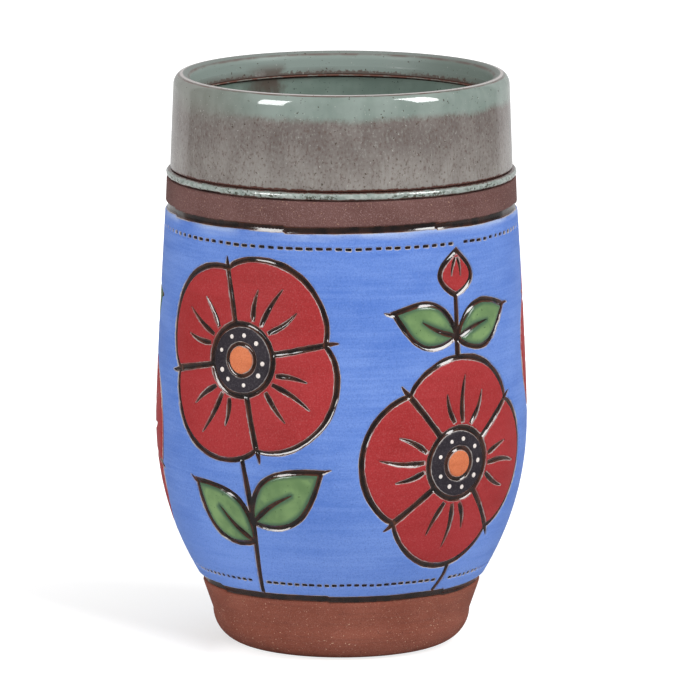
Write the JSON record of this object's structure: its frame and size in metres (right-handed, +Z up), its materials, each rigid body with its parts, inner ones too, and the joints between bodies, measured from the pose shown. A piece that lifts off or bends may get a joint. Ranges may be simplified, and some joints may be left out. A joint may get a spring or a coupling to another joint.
{
  "type": "pottery mug",
  "caption": "Hand-thrown stoneware tumbler mug without a handle, with a glazed lip and a carved and slip-painted band of poppies on blue.",
  "frame": {"origin": "middle of the foot ring's flat underside, on the surface that the mug stands on", "axes": "+Z up along the mug's turning axis, -Y to the front of the pictured view, +X to its right"},
  "size_m": [0.0834, 0.0834, 0.129],
  "materials": {
    "clay": "matte, unglazed red-brown stoneware with fine grog",
    "celadon_glaze": "gloss, pale grey-green with iron specks",
    "grey_glaze": "gloss, warm grey with light and dark specks, green at the lip",
    "blue_slip": "satin, brushed",
    "red_slip": "satin, brushed",
    "charcoal_slip": "satin, brushed",
    "orange_slip": "satin, brushed",
    "green_slip": "satin, brushed",
    "line_glaze": "gloss, dark brown, lying in carved lines"
  },
  "bodies": {
    "root": {"blue_slip_ground": "blue_slip", "clay_body": "clay", "foot_border_line": "line_glaze", "ledge_glaze_bead": "celadon_glaze", "liner_glaze": "celadon_glaze", "poppy_1_button": "orange_slip", "poppy_1_centre": "charcoal_slip", "poppy_1_leaf_1": "green_slip", "poppy_1_leaf_2": "green_slip", "poppy_1_line_glaze": "line_glaze", "poppy_1_petal_1": "red_slip", "poppy_1_petal_2": "red_slip", "poppy_1_petal_3": "red_slip", "poppy_1_petal_4": "red_slip", "poppy_2_bud": "red_slip", "poppy_2_button": "orange_slip", "poppy_2_centre": "charcoal_slip", "poppy_2_leaf_1": "green_slip", "poppy_2_leaf_2": "green_slip", "poppy_2_line_glaze": "line_glaze", "poppy_2_petal_1": "red_slip", "poppy_2_petal_2": "red_slip", "poppy_2_petal_3": "red_slip", "poppy_2_petal_4": "red_slip", "poppy_3_button": "orange_slip", "poppy_3_centre": "charcoal_slip", "poppy_3_leaf_1": "green_slip", "poppy_3_leaf_2": "green_slip", "poppy_3_line_glaze": "line_glaze", "poppy_3_petal_1": "red_slip", "poppy_3_petal_2": "red_slip", "poppy_3_petal_3": "red_slip", "poppy_3_petal_4": "red_slip", "poppy_4_button": "orange_slip", "poppy_4_centre": "charcoal_slip", "poppy_4_leaf_1": "green_slip", "poppy_4_leaf_2": "green_slip", "poppy_4_line_glaze": "line_glaze", "poppy_4_petal_1": "red_slip", "poppy_4_petal_2": "red_slip", "poppy_4_petal_3": "red_slip", "poppy_4_petal_4": "red_slip", "poppy_5_bud": "red_slip", "poppy_5_button": "orange_slip", "poppy_5_centre": "charcoal_slip", "poppy_5_leaf_1": "green_slip", "poppy_5_leaf_2": "green_slip", "poppy_5_line_glaze": "line_glaze", "poppy_5_petal_1": "red_slip", "poppy_5_petal_2": "red_slip", "poppy_5_petal_3": "red_slip", "poppy_5_petal_4": "red_slip", "rim_glaze": "grey_glaze", "top_border_line": "line_glaze"}
  },
  "joints": []
}
